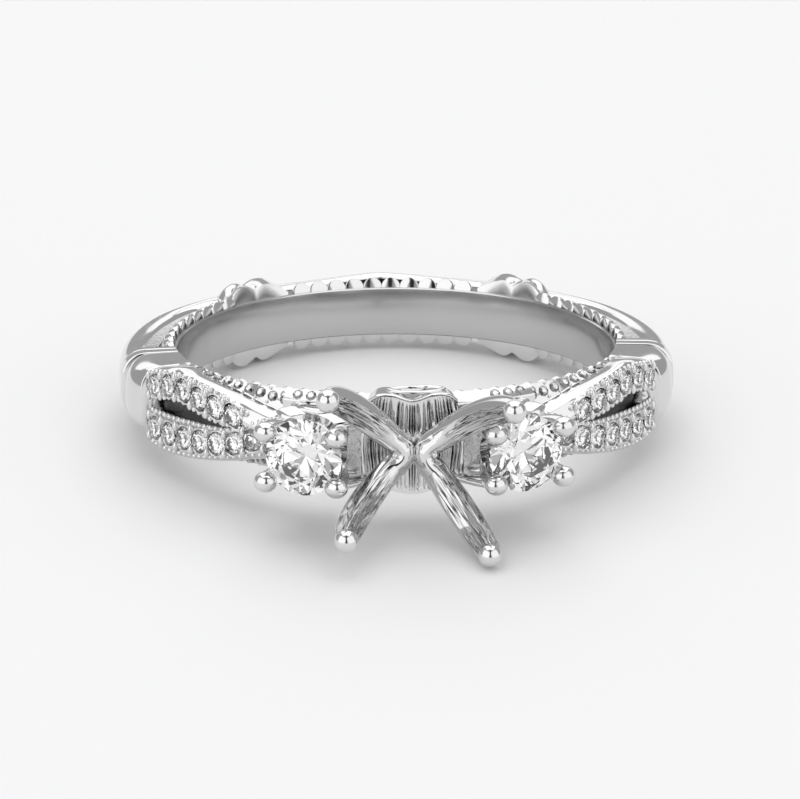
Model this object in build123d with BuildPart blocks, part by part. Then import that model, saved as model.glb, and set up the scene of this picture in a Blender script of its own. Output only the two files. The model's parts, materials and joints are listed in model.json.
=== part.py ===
import os
from math import atan2, cos, degrees, hypot, pi, radians, sin

from build123d import *

os.makedirs("parts", exist_ok=True)

# A split shank engagement ring, in millimetres, with its centre stone not yet set.
# It is drawn round a finger hole on the Z axis, head towards -Y, and then laid on its side
# as it rests by itself. Angles run round the hole from the head, in degrees.

# Finger hole and inner sleeve
bore_r = 8.5
sleeve_wall = 0.7
smooth_half = 1.05
front_rise = 0.35
rise_from = 75.0

# Scalloped lobes along both edges of the sleeve
lobe_r = 0.34
lobe_height = 0.4
lobe_length = 0.35
lobe_set_back = 0.07
lobe_gap = 0.04

# Outer band round the back, with a soft point opposite the head
band_half = 1.0
band_round = 0.4
band_side_r = 10.7
band_side_wall = 1.05
band_waist_r = 10.12
band_waist_wall = 0.68
band_peak_r = 11.0
band_peak_wall = 0.6
band_point_round = 1.0
collar_overlap = 2.0
waist_from = 142.0
waist_to = 158.0

# Ribbon knots that tie the band to the sleeve
knot_angle = 144.5
knot_span = 17.0
knot_plate_half = 0.95
wrap_width = 1.35
wrap_half = 1.6
wrap_out_r = 10.4
wrap_round = 0.42
wrap_lean = 14.0

# Stepped collars where the shoulders begin
collar_r = 10.95
collar_half = 1.35
collar_round = 0.4
collar_front = 70.0
collar_span = 18.0

# Split shoulders, two strands a side
strand_out_r = 10.2
strand_in_r = 8.95
crest_r = 9.35
shoulder_half = 1.7
side_face_drop = 0.06
strand_margin = 2.7
face_first = 62.0
face_last = 20.0

# Small stones of the strands and of the side faces
pave_d = 0.82
pave_gap = 0.12
upper_last = 40.0
lower_last = 32.0
face_stone_d = 0.44
stone_gap = 0.03
stone_sink = 0.04

# Side stones and their four-claw heads
side_stone_d = 3.0
side_angle = 20.3
side_stone_r = 12.1
side_ball_r = 0.42
side_ball_across = 1.4
side_ball_up = 0.98
side_prong_r = 0.3
side_ball_out = 0.42
cup_wall = 0.3
cup_height = 1.85
cup_foot_r = 1.1
cup_rim_r = 1.52
cup_drop = 0.75
scallop_r = 0.55

# Gallery behind the head
gallery_r = 10.15
gallery_half = 2.2
gallery_top = 2.05
gallery_bottom = 1.95
flute_r = 0.13
flute_count = 11
rail_angle = 31.0
rail_thick = 0.32
rail_slot = 0.3
rail_slot_length = 1.2
rail_height = 1.18
bow_dip = 0.91
bow_end = 0.76
petal_share = 0.88
petal_end = 0.62
flute_share = 0.8

# Centre head: four claws that meet in a cross, open for a round stone
cross_r = 11.1
claw_side = 3.2
claw_up = 2.9
claw_reach = 3.2
claw_width = 0.94
claw_depth = 0.72
claw_ball_r = 0.46
claw_bevel = 0.18
bend_side = 0.60
bend_ahead = 0.34
cross_ball_r = 0.5
peg_r = 0.75

# How a cut stone is proportioned, as shares of its diameter
table_share = 0.56
crown_share = 0.15
culet_share = 0.06
girdle_sides = 32
girdle_share = 0.03
pavilion_share = 0.43
seat_tip_share = 0.1

# How far one soldered piece reaches into the next, and a cutting tool past what it cuts
overlap = 0.1
clear = 1.0


def around(angle, r, z=0.0):
    """The point at an angle from the head, a distance from the hole's axis, and a height."""
    return (r * sin(radians(angle)), -r * cos(radians(angle)), z)


def section_plane(angle):
    """A plane through the hole's axis: its x is the distance from the axis, its y the height."""
    out = Vector(*around(angle, 1))
    return Plane(origin=(0, 0, 0), x_dir=out, z_dir=out.cross(Vector(0, 0, 1)))


def outward_plane(angle, r, z=0.0, lift=0.0):
    """A plane that faces away from the axis, or turned up by lift degrees, with x along the ring."""
    out = Vector(*around(angle, cos(radians(lift)), sin(radians(lift))))
    along = Vector(cos(radians(angle)), sin(radians(angle)), 0)
    return Plane(origin=around(angle, r, z), x_dir=along, z_dir=out)


def sleeve_half(angle):
    """The smooth wall's half length, which grows towards the head in step with the distance back."""
    start = cos(radians(rise_from))
    share = (cos(radians(angle)) - start) / (1 - start)
    return smooth_half + front_rise * max(0.0, share)


# Strand rows: angle, then the heights of each strand's edges and of the polished bevel's crest,
# as shares of the shoulder's half height
upper_rows = [
    {"angle": 73.0, "low": 0.01, "high": 0.64, "crest": 0.62},
    {"angle": 66.0, "low": 0.14, "high": 0.85, "crest": 0.86},
    {"angle": 60.0, "low": 0.27, "high": 0.95, "crest": 1.00},
    {"angle": 54.0, "low": 0.17, "high": 0.93, "crest": 0.91},
    {"angle": 48.0, "low": 0.06, "high": 0.85, "crest": 0.84},
    {"angle": 42.0, "low": 0.02, "high": 0.70, "crest": 0.74},
    {"angle": 37.0, "low": -0.05, "high": 0.44, "crest": 0.62},
    {"angle": 30.0, "low": -0.20, "high": 0.16, "crest": 0.46},
]
lower_rows = [
    {"angle": 73.0, "low": -0.94, "high": -0.13, "crest": 0.92},
    {"angle": 66.0, "low": -1.00, "high": -0.11, "crest": 0.98},
    {"angle": 60.0, "low": -1.00, "high": -0.10, "crest": 1.00},
    {"angle": 54.0, "low": -0.94, "high": -0.07, "crest": 0.91},
    {"angle": 48.0, "low": -0.84, "high": -0.04, "crest": 0.84},
    {"angle": 42.0, "low": -0.71, "high": 0.04, "crest": 0.74},
    {"angle": 37.0, "low": -0.58, "high": 0.26, "crest": 0.62},
    {"angle": 30.0, "low": -0.45, "high": 0.50, "crest": 0.46},
]

# Collar rows: where each step starts and ends along the collar, its radius and half height,
# as shares of the collar's own sizes
collar_rows = [
    {"start": 0.00, "end": 0.62, "radius": 1.000, "half": 1.00},
    {"start": 0.03, "end": 0.97, "radius": 0.965, "half": 0.88},
    {"start": 0.66, "end": 0.83, "radius": 0.994, "half": 0.97},
    {"start": 0.87, "end": 1.00, "radius": 0.988, "half": 0.92},
]

# Wrap rows: where each ribbon wrap of a knot sits along it, as a share of its span, and its size
wrap_rows = [
    {"turn": -0.24, "size": 0.90},
    {"turn": 0.24, "size": 1.00},
]

# Facet rows of a round brilliant: what each row's planes pass through, how far out as a share
# of the radius, the first plane's turn, the slope from level, and how many there are
facet_rows = [
    {"through": "girdle", "reach": 1.00, "turn": 0.00, "slope": 34.5, "count": 8},
    {"through": "girdle", "reach": 0.99, "turn": 11.25, "slope": 40.5, "count": 16},
    {"through": "table", "reach": 0.52, "turn": 22.50, "slope": 21.5, "count": 8},
    {"through": "below", "reach": 1.00, "turn": 0.00, "slope": 40.8, "count": 8},
    {"through": "below", "reach": 0.99, "turn": 11.25, "slope": 42.0, "count": 16},
]

# Claw rows: how far each claw's tip lies to the side, up and out, as shares of the claw sizes
claw_rows = [
    {"side": -1.07, "up": 1.01, "reach": 0.86},
    {"side": 1.11, "up": 0.85, "reach": 0.95},
    {"side": -0.88, "up": -0.76, "reach": 1.22},
    {"side": 0.82, "up": -1.05, "reach": 1.06},
]


def between(rows, angle, column):
    """A column's value at an angle, on the straight line between the rows beside it."""
    for a, b in zip(rows, rows[1:]):
        if a["angle"] >= angle >= b["angle"]:
            share = (a["angle"] - angle) / (a["angle"] - b["angle"])
            return a[column] + share * (b[column] - a[column])
    return rows[-1][column]


def sleeve():
    reach = bore_r + sleeve_wall
    with BuildPart() as body:
        with BuildSketch(Plane.XZ):
            with Locations((bore_r + sleeve_wall / 2, 0)):
                Rectangle(sleeve_wall, 2 * (smooth_half + front_rise + clear))
        revolve(axis=Axis.Z)
        with BuildSketch(Plane.YZ):
            with BuildLine():
                front, start = around(0, bore_r)[1], around(rise_from, bore_r)[1]
                slope = front_rise / (start - front)
                corners = [(reach + clear, smooth_half), (start, smooth_half)]
                corners.append((-reach - clear, smooth_half + slope * (start + reach + clear)))
                Polyline(*corners, *[(y, -z) for y, z in reversed(corners)], close=True)
            make_face()
        extrude(amount=reach + clear, both=True, mode=Mode.INTERSECT)
    return body.part


def lobe_angles():
    """Lobes stand all round the edges, but not under the collars or the knots."""
    step = 360 / int(2 * pi * bore_r / (2 * lobe_r + lobe_gap))
    lobe_turn = degrees(lobe_r / bore_r) / 2
    angles = []
    turn = step / 2
    while turn < 180:
        in_collar = collar_front < turn + lobe_turn and turn - lobe_turn < collar_front + collar_span
        in_knot = abs(turn - knot_angle) < knot_span / 2
        if not in_collar and not in_knot:
            angles += [turn, -turn]
        turn += step
    return angles


def lobes():
    places = []
    for angle in lobe_angles():
        height = sleeve_half(angle) + lobe_height - lobe_r
        for side in (1, -1):
            place = outward_plane(angle, bore_r + lobe_set_back, side * height)
            places.append(place.location)
    with BuildPart() as body:
        with Locations(*places):
            Cylinder(lobe_r, lobe_length, align=(Align.CENTER, Align.CENTER, Align.MIN))
    return body.part


def band_plan(inset):
    """The area inside the band's outer line, or with inset 1 inside its inner line."""
    side = band_side_r - inset * band_side_wall
    waist = band_waist_r - inset * band_waist_wall
    peak = band_peak_r - inset * band_peak_wall
    first = collar_front + collar_span - collar_overlap * (1 + inset)
    with BuildSketch() as plan:
        with BuildLine():
            for hand in (1, -1):
                run = Line(around(hand * waist_to, waist), around(180, peak))
                Spline(around(hand * first, side), around(hand * waist_from, waist),
                       around(hand * waist_to, waist),
                       tangents=(around(hand * (first + 90), 1), run % 0))
            Line(around(first, side), around(-first, side))
        make_face()
        fillet(plan.vertices().sort_by(Axis.Y)[-1], band_point_round)
    return plan.sketch


def band():
    """The outer band: a curve from each collar to the waist, then a straight run to the point."""
    with BuildPart() as body:
        add(band_plan(0))
        extrude(amount=band_half, both=True)
        rims = body.faces().filter_by(Axis.Z).edges().sort_by(SortBy.LENGTH)
        fillet(rims[:-2], band_round)
        add(band_plan(1))
        extrude(amount=band_half, both=True, mode=Mode.SUBTRACT)
    return body.part


def sector(start, span, inner, outer, half, middle=0.0, rounding=0.0):
    """A rounded bar that runs round the hole's axis from a start angle through a span."""
    with BuildPart() as body:
        with BuildSketch(section_plane(start)) as profile:
            with Locations(((inner + outer) / 2, middle)):
                Rectangle(outer - inner, 2 * half)
            if rounding:
                corners = profile.vertices().sort_by(lambda v: hypot(v.X, v.Y))
                fillet(corners[-2:], rounding)
        revolve(axis=Axis.Z, revolution_arc=span)
    return body.part


def knot(hand):
    """Two leaning ribbon wraps round the sleeve and the band, on a plate that joins both."""
    inner = bore_r + lobe_set_back
    start = hand * knot_angle - knot_span / 2
    with BuildPart() as body:
        add(sector(start, knot_span, inner, band_waist_r - band_waist_wall / 2, knot_plate_half))
        for row in wrap_rows:
            depth = wrap_out_r - inner
            angle = hand * (knot_angle + row["turn"] * knot_span)
            with BuildPart(mode=Mode.PRIVATE) as wrap:
                Box(wrap_width, 2 * wrap_half * row["size"], depth)
                fillet(wrap.edges(), wrap_round)
            place = outward_plane(angle, inner + depth / 2).rotated((0, 0, hand * wrap_lean))
            add(place.location * wrap.part)
    return body.part


def collar(hand):
    with BuildPart() as body:
        for row in collar_rows:
            first = collar_front + row["start"] * collar_span
            last = collar_front + row["end"] * collar_span
            start = first if hand > 0 else -last
            add(sector(start, last - first, bore_r + lobe_set_back, collar_r * row["radius"],
                       collar_half * row["half"], rounding=collar_round))
    return body.part


def strand(rows, hand, face):
    """One pave strand, its flat outer face, and the bevel that falls from it to the side face."""
    near, far = ("low", "high") if face > 0 else ("high", "low")
    with BuildPart() as body:
        for row in rows:
            angle = hand * row["angle"]
            top = face * (sleeve_half(angle) + lobe_height - side_face_drop)
            with BuildSketch(section_plane(angle)):
                with BuildLine():
                    Polyline((strand_in_r, shoulder_half * row[near]),
                             (strand_out_r, shoulder_half * row[near]),
                             (strand_out_r, shoulder_half * row[far]),
                             (crest_r, face * shoulder_half * row["crest"]),
                             (strand_in_r, top),
                             close=True)
                make_face()
        loft()
    return body.part


def strand_stone_places(rows, hand, last):
    """Stones at even steps along the middle of a strand, from the collar to the last angle."""
    places = []
    angle = collar_front - strand_margin
    while angle > last:
        middle = strand_middle(rows, angle)
        places.append(outward_plane(hand * angle, strand_out_r - stone_sink, middle).location)
        step = pave_d + pave_gap
        climb = strand_middle(rows, angle - degrees(step / strand_out_r)) - middle
        angle -= degrees((step**2 - climb**2) ** 0.5 / strand_out_r)
    return places


def strand_middle(rows, angle):
    return shoulder_half * (between(rows, angle, "low") + between(rows, angle, "high")) / 2


def face_stone_places(hand, face):
    """One row along the sloped face between the lobes and the polished bevel."""
    places = []
    angle = face_first
    while angle > face_last:
        top = sleeve_half(angle) + lobe_height - side_face_drop
        crest = shoulder_half * between(upper_rows, angle, "crest")
        if angle < rail_angle:
            crest = rail_height + rail_thick / 2
        lift = degrees(atan2(crest_r - strand_in_r, top - crest))
        middle = outward_plane(hand * angle, (strand_in_r + crest_r) / 2,
                               face * (top + crest) / 2, face * lift)
        places.append(middle.location)
        angle -= degrees((face_stone_d + pave_gap) / crest_r)
    return places


def seat(diameter):
    """The hole that a stone drops into: its own shape, wider all round by the stone's gap."""
    r = diameter / 2 + stone_gap
    depth = pavilion_share * diameter + stone_gap
    with BuildPart() as body:
        Cylinder(r, diameter, align=(Align.CENTER, Align.CENTER, Align.MIN))
        Cone(r * seat_tip_share, r, depth, align=(Align.CENTER, Align.CENTER, Align.MAX))
    return body.part


def small_stone(diameter):
    """A single cut: an octagonal table, eight crown facets, a thin girdle, eight facets below."""
    r = diameter / 2
    girdle = girdle_share * diameter
    with BuildPart() as stone:
        with BuildSketch(Plane.XY):
            RegularPolygon(r, 8)
        extrude(amount=girdle)
        with BuildSketch(Plane.XY.offset(girdle)):
            RegularPolygon(r, 8)
        with BuildSketch(Plane.XY.offset(girdle + crown_share * diameter)):
            RegularPolygon(r * table_share, 8)
        loft(ruled=True)
        with BuildSketch(Plane.XY):
            RegularPolygon(r, 8)
        with BuildSketch(Plane.XY.offset(-pavilion_share * diameter)):
            RegularPolygon(r * culet_share, 8)
        loft(ruled=True)
    return stone.part


def side_stone(diameter):
    """A round brilliant: rows of flat facets cut from a many-sided disc, above and below."""
    girdle = girdle_share * diameter / 2
    top = girdle + crown_share * diameter
    bottom = girdle + pavilion_share * diameter
    with BuildPart() as stone:
        with BuildSketch(Plane.XY.offset(-bottom)):
            RegularPolygon(diameter / 2, girdle_sides)
        extrude(amount=top + bottom)
        for row in facet_rows:
            height = {"table": top, "girdle": girdle, "below": -girdle}[row["through"]]
            reach = diameter / 2 * row["reach"]
            for i in range(row["count"]):
                turn = row["turn"] + 360 * i / row["count"]
                side = Vector(cos(radians(turn)), sin(radians(turn)), 0)
                up = -1 if row["through"] == "below" else 1
                slope = radians(row["slope"])
                normal = side * sin(slope) + Vector(0, 0, up * cos(slope))
                facet = Plane(origin=side * reach + Vector(0, 0, height), z_dir=normal)
                split(bisect_by=facet, keep=Keep.BOTTOM)
    return stone.part


def side_head():
    """A scalloped cup and four ball-ended prongs, drawn about the middle of the stone's girdle."""
    stone_r = side_stone_d / 2
    floor = side_stone_r - crest_r + overlap
    rim = -cup_drop
    with BuildPart() as head:
        with BuildSketch(Plane.XZ.rotated((0, 0, 45))):
            with BuildLine():
                Polyline((0, -floor), (cup_foot_r, -floor), (cup_foot_r, -cup_height),
                         (cup_rim_r, rim), (cup_rim_r - cup_wall, rim),
                         (cup_foot_r - cup_wall, -cup_height), (0, -cup_height), close=True)
            make_face()
        revolve(axis=Axis.Z)
        with Locations((0, 0, rim)):
            Cylinder(scallop_r, 2 * cup_rim_r + clear, rotation=(90, 0, 0), mode=Mode.SUBTRACT)
            Cylinder(scallop_r, 2 * cup_rim_r + clear, rotation=(0, 90, 0), mode=Mode.SUBTRACT)
        foot = cup_foot_r - side_prong_r
        spread = hypot(side_ball_across, side_ball_up)
        for across in (1, -1):
            for up in (1, -1):
                tip = Vector(across * side_ball_across, up * side_ball_up, side_ball_out)
                root = Vector(tip.X * foot / spread, tip.Y * foot / spread, -cup_height)
                with BuildLine() as stem:
                    Line(root, tip)
                with BuildSketch(Plane(origin=root, z_dir=tip - root)):
                    Circle(side_prong_r)
                sweep(path=stem.edges()[0])
                with Locations(Plane(origin=tip, z_dir=tip - root)):
                    Sphere(side_ball_r)
        crown = crown_share * side_stone_d
        with BuildSketch(Plane.XZ):
            with BuildLine():
                half = girdle_share * side_stone_d / 2 + stone_gap
                Polyline((0, -half - pavilion_share * side_stone_d), (stone_r + stone_gap, -half),
                         (stone_r + stone_gap, half), (stone_r * table_share, half + crown),
                         (0, half + crown), close=True)
            make_face()
        revolve(axis=Axis.Z, mode=Mode.SUBTRACT)
    return head.part


def gallery():
    """The wall behind the cross, with flutes and a bowed top edge, and a slotted rail each side."""
    span = degrees(gallery_half / gallery_r)
    with BuildPart() as wall:
        add(sector(-span, 2 * span, crest_r - overlap, gallery_r, gallery_top))
        with BuildSketch(Plane.XZ.offset(bore_r)):
            with BuildLine():
                side = (gallery_half, gallery_top * bow_end)
                low = (gallery_half * petal_share, -gallery_bottom * petal_end)
                for hand in (1, -1):
                    ThreePointArc((0, gallery_top * bow_dip),
                                  (hand * gallery_half / 2, gallery_top),
                                  (hand * side[0], side[1]))
                    Line((hand * side[0], side[1]), (hand * low[0], low[1]))
                ThreePointArc(low, (0, -gallery_bottom), (-low[0], low[1]))
            make_face()
        extrude(amount=gallery_r, mode=Mode.INTERSECT)
        step = 2 * span / flute_count
        flutes = [Location(around(-span + (i + 0.5) * step, gallery_r)) for i in range(flute_count)]
        with Locations(*flutes):
            Cylinder(flute_r, 2 * gallery_top * flute_share, mode=Mode.SUBTRACT)
    with BuildPart() as body:
        with BuildSketch(section_plane(-rail_angle)):
            top = sleeve_half(rail_angle / 2) + lobe_height - side_face_drop
            edge = rail_height + rail_thick / 2
            with BuildLine():
                Polyline((strand_in_r, -top), (strand_in_r, top), (crest_r, edge),
                         (crest_r, -edge), close=True)
            make_face()
        revolve(axis=Axis.Z, revolution_arc=2 * rail_angle)
        for face in (1, -1):
            add(sector(-rail_angle, 2 * rail_angle, crest_r - overlap, gallery_r,
                       rail_thick / 2, face * rail_height))
        middle = (crest_r + gallery_r) / 2
        slots = [Location(around(turn, middle), (0, 0, turn)) for turn in (-side_angle, side_angle)]
        with Locations(*slots):
            Box(rail_slot_length, rail_slot, 2 * (rail_height + clear), mode=Mode.SUBTRACT)
        add(wall.part)
    return body.part


def claw(row):
    """One claw: from the cross it runs out sideways, then bends forwards to its ball."""
    root = Vector(0, -cross_r, 0)
    aside = Vector(claw_side * row["side"], 0, claw_up * row["up"])
    ahead = Vector(0, -claw_reach * row["reach"], 0)
    across = aside.cross(ahead).normalized()
    with BuildPart() as body:
        with BuildLine() as spine:
            ThreePointArc(root, root + aside * bend_side + ahead * bend_ahead,
                          root + aside + ahead)
        with BuildSketch(Plane(origin=root, x_dir=across, z_dir=spine.edges()[0] % 0)) as shape:
            Rectangle(claw_width, claw_depth)
            chamfer(shape.vertices(), claw_bevel)
        sweep(path=spine.edges()[0])
        with Locations(Plane(origin=root + aside + ahead, x_dir=across, z_dir=spine.edges()[0] % 1)):
            Sphere(claw_ball_r)
    return body.part


def centre_head():
    with BuildPart() as body:
        with BuildSketch(Plane.XZ.offset(crest_r - overlap)):
            Circle(peg_r)
        extrude(amount=cross_r - crest_r + overlap)
        with Locations((0, -cross_r, 0)):
            Sphere(cross_ball_r)
        for row in claw_rows:
            add(claw(row))
    return body.part


def metal():
    """Everything that is cast or soldered, as one solid, with the seats of its stones cut in."""
    pieces = [sleeve(), lobes(), band(), gallery(), centre_head()]
    pieces += [place * side_head() for place in side_places]
    for hand in (-1, 1):
        pieces += [knot(hand), collar(hand)]
        pieces += [strand(upper_rows, hand, 1), strand(lower_rows, hand, -1)]
    with BuildPart() as seats:
        with Locations(*[place for places in strand_places.values() for place in places]):
            add(seat(pave_d))
        with Locations(*[place for places in face_places.values() for place in places]):
            add(seat(face_stone_d))
    with BuildPart() as body:
        add(pieces)
        add(seats.part, mode=Mode.SUBTRACT)
    return body.part


def rest_tilt():
    """The ring lies on its side: on the ball of its lowest claw and on both knots."""
    lowest = min(claw_rows, key=lambda row: row["up"])
    widest = max(wrap_rows, key=lambda row: row["size"])
    ball_ahead = cross_r + claw_reach * lowest["reach"]
    ball_down = claw_ball_r - claw_up * lowest["up"]
    wrap_angle = knot_angle + widest["turn"] * knot_span
    wrap_behind = around(wrap_angle, bore_r + lobe_set_back + wrap_round)[1]
    return degrees(atan2(ball_down - wrap_half * widest["size"], ball_ahead + wrap_behind))


def save(name, piece, places):
    """One piece, or copies of it, turned to the way the ring lies, in a file of its own."""
    laid = Location((0, 0, 0), (-rest_tilt(), 0, 0))
    with BuildPart() as node:
        with Locations(*[laid * place for place in places]):
            add(piece)
    node.part.label = name
    export_step(node.part, "parts/" + name + ".step")


side_places = [outward_plane(hand * side_angle, side_stone_r).location for hand in (-1, 1)]
strand_places = {
    "left_upper": strand_stone_places(upper_rows, -1, upper_last),
    "left_lower": strand_stone_places(lower_rows, -1, lower_last),
    "right_upper": strand_stone_places(upper_rows, 1, upper_last),
    "right_lower": strand_stone_places(lower_rows, 1, lower_last),
}
face_places = {
    "left": face_stone_places(-1, 1) + face_stone_places(-1, -1),
    "right": face_stone_places(1, 1) + face_stone_places(1, -1),
}

save("ring_mount", metal(), [Location()])
for name, place in zip(("side_stone_left", "side_stone_right"), side_places):
    save(name, side_stone(side_stone_d), [place])
for name, places in strand_places.items():
    save("strand_stones_" + name, small_stone(pave_d), places)
for name, places in face_places.items():
    save("face_stones_" + name, small_stone(face_stone_d), places)
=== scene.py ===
# A split shank engagement ring in polished white gold, lying on its side on a pale table.
# Shapes are worked out in millimetres round the finger hole, which runs along Z with the head
# towards -Y, and then laid down as the frame's finger hole leans.
import json
import math

import bmesh
import bpy
import numpy as np
from mathutils import Matrix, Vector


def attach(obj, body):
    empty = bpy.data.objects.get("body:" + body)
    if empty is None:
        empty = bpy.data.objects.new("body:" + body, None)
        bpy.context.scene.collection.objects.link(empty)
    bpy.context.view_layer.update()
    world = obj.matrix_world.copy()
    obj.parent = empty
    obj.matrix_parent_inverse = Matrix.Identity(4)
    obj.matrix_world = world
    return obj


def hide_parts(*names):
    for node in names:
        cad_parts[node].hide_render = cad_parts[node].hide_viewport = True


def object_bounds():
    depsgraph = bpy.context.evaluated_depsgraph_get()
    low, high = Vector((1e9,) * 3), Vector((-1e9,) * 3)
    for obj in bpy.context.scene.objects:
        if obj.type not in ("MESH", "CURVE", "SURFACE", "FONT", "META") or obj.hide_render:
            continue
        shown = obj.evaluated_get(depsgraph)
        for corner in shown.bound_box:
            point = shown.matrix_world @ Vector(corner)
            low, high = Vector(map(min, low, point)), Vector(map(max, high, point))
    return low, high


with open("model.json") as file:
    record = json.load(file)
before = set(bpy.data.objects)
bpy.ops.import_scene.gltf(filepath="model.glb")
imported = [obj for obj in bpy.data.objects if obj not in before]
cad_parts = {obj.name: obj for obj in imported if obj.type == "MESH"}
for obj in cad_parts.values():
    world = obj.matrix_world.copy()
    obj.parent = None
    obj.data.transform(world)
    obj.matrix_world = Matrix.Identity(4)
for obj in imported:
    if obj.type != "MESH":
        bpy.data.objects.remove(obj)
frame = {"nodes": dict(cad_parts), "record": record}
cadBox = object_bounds()
holeAxis = next(m for m in frame["record"]["mounts"] if m["name"] == "finger_bore")["axis"]
lean = math.atan2(holeAxis[1], holeAxis[2])
print("frame loaded, the hole leans", round(math.degrees(lean), 2), "degrees")


# Laying down: turn about X by the lean, and millimetres to metres
def lay(points):
    x, y, z = points[..., 0], points[..., 1], points[..., 2]
    c, s = math.cos(lean), math.sin(lean)
    return np.stack([x, y * c + z * s, z * c - y * s], -1) / 1000


# A point at an angle round the hole from the head: x = r sin a, y = -r cos a, z = z
def polar(angle, r, z):
    a = np.radians(angle)
    return np.stack(np.broadcast_arrays(r * np.sin(a), -r * np.cos(a), z), -1)


# A smooth step from 0 to 1 between two values: 3 t squared less 2 t cubed
def ease(value, start, end):
    t = np.clip((value - start) / (end - start), 0, 1)
    return t * t * (3 - 2 * t)


# A smooth curve through a table's column by its first column: cubic pieces whose slopes are
# those of their neighbours
def along(rows, column, place):
    first = next(iter(rows[0]))
    x = np.array([row[first] for row in rows], float)
    y = np.array([row[column] for row in rows], float)
    order = np.argsort(x)
    x, y = x[order], y[order]
    slope = np.gradient(y, x)
    i = np.clip(np.searchsorted(x, place) - 1, 0, len(x) - 2)
    w = x[i + 1] - x[i]
    t = np.clip((place - x[i]) / w, 0, 1)
    rise = y[i + 1] - y[i]
    return (y[i] + rise * (3 * t**2 - 2 * t**3) + w * slope[i] * (t - 2 * t**2 + t**3)
            + w * slope[i + 1] * (t**3 - t**2))


# A parabola between two points, drawn towards a third
def curve(a, b, c, steps):
    t = np.linspace(0, 1, steps)[:, None]
    return (1 - t) ** 2 * np.asarray(a) + 2 * t * (1 - t) * np.asarray(b) + t**2 * np.asarray(c)


# A short table of rows: its columns' names, then the values of each row
def table(columns, *rows):
    return [dict(zip(columns.split(), row)) for row in rows]


# Vectors divided by their lengths
def unit(vectors):
    return vectors / np.linalg.norm(vectors, axis=1, keepdims=True)


# Angles of a whole turn in equal steps, in radians
def wholeTurn(steps):
    return np.linspace(0, 2 * np.pi, steps, endpoint=False)


# Points of a section at each station. A corner is a distance, a height and a rounding, each one
# number or one for each station; with steps it becomes a parabola that starts its rounding away,
# or at mostOfSide of the way to the next corner where that is nearer
def makeSections(stations, corners, steps=0, mostOfSide=0.48):
    x, y, radii = (np.stack([np.broadcast_to(corner[k], stations.shape) for corner in corners], 1)
                   for k in range(3))
    points = np.stack([x, y], -1)
    if not steps:
        return points
    ends = []
    for shift in (1, -1):
        side = np.roll(points, shift, axis=1) - points
        share = radii / np.maximum(np.linalg.norm(side, axis=2), 1e-6)
        ends.append((points + side * np.minimum(share, mostOfSide)[..., None])[:, :, None])
    t = np.linspace(0, 1, steps)[:, None]
    rounded = (1 - t) ** 2 * ends[0] + 2 * t * (1 - t) * points[:, :, None] + t**2 * ends[1]
    return rounded.reshape(len(points), -1, 2)


# The corners of a section that is the same above and below, from those of its lower half
def bothHalves(corners):
    return corners + [(r, -z, rounding) for r, z, rounding in corners[::-1]]


# A grid of points as a closed skin: its columns wrap, and its rows wrap or end in a cap
def closeSkin(grid, wrapRows=False):
    if wrapRows:
        return grid, True
    first, last = grid[:1].mean(1, keepdims=True), grid[-1:].mean(1, keepdims=True)
    spread = np.ones((1, grid.shape[1], 1))
    return np.concatenate([first * spread, grid, last * spread]), False


# A skin whose section is carried round the hole, its corners given as distance from the axis,
# height and rounding by angle; hand is -1 on the ring's left
def ringSkin(angle, corners, steps=0, hand=1):
    section = makeSections(angle, corners, steps)
    return closeSkin(polar(hand * angle[:, None], section[..., 0], section[..., 1]))


# Rings about a small piece's own z axis, each with its radius and its height, by angle p
def turned(p, rings):
    return np.stack([np.stack([r * np.cos(p), r * np.sin(p), z + 0 * p], -1) for r, z in rings])


# From a small piece's own frame, x along the ring, y up and z outwards, to a place on the ring
def onRing(points, angle, r, z=0.0):
    a = math.radians(angle)
    ahead = np.array([math.cos(a), math.sin(a), 0.0])
    away = np.array([math.sin(a), -math.cos(a), 0.0])
    rise = np.array([0.0, 0.0, 1.0])
    return (away * r + rise * z + points[..., :1] * ahead + points[..., 1:2] * rise
            + points[..., 2:3] * away)


# A ball about a middle point, drawn out along each axis by its stretch
def ball(middle, r, stretch=(1, 1, 1), rings=9, sides=12):
    q, p = np.meshgrid(np.linspace(0, np.pi, rings), wholeTurn(sides), indexing="ij")
    shape = np.stack([np.sin(q) * np.cos(p), np.sin(q) * np.sin(p), np.cos(q)], -1)
    return shape * r * np.array(stretch) + np.asarray(middle), False


# A round bar carried along a curved path: rings square to it, with a radius at each step
def barAlong(path, radius, sides, upHint):
    tangent = unit(np.gradient(path, axis=0))
    side = unit(np.cross(tangent, np.asarray(upHint, float)))
    normal = np.cross(side, tangent)
    p = wholeTurn(sides)[None, :, None]
    radius = np.broadcast_to(radius, len(path))[:, None, None]
    return path[:, None] + radius * (side[:, None] * np.cos(p) + normal[:, None] * np.sin(p))


def addObject(name, data):
    thing = bpy.data.objects.new(name, data)
    bpy.context.scene.collection.objects.link(thing)
    return thing


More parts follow.
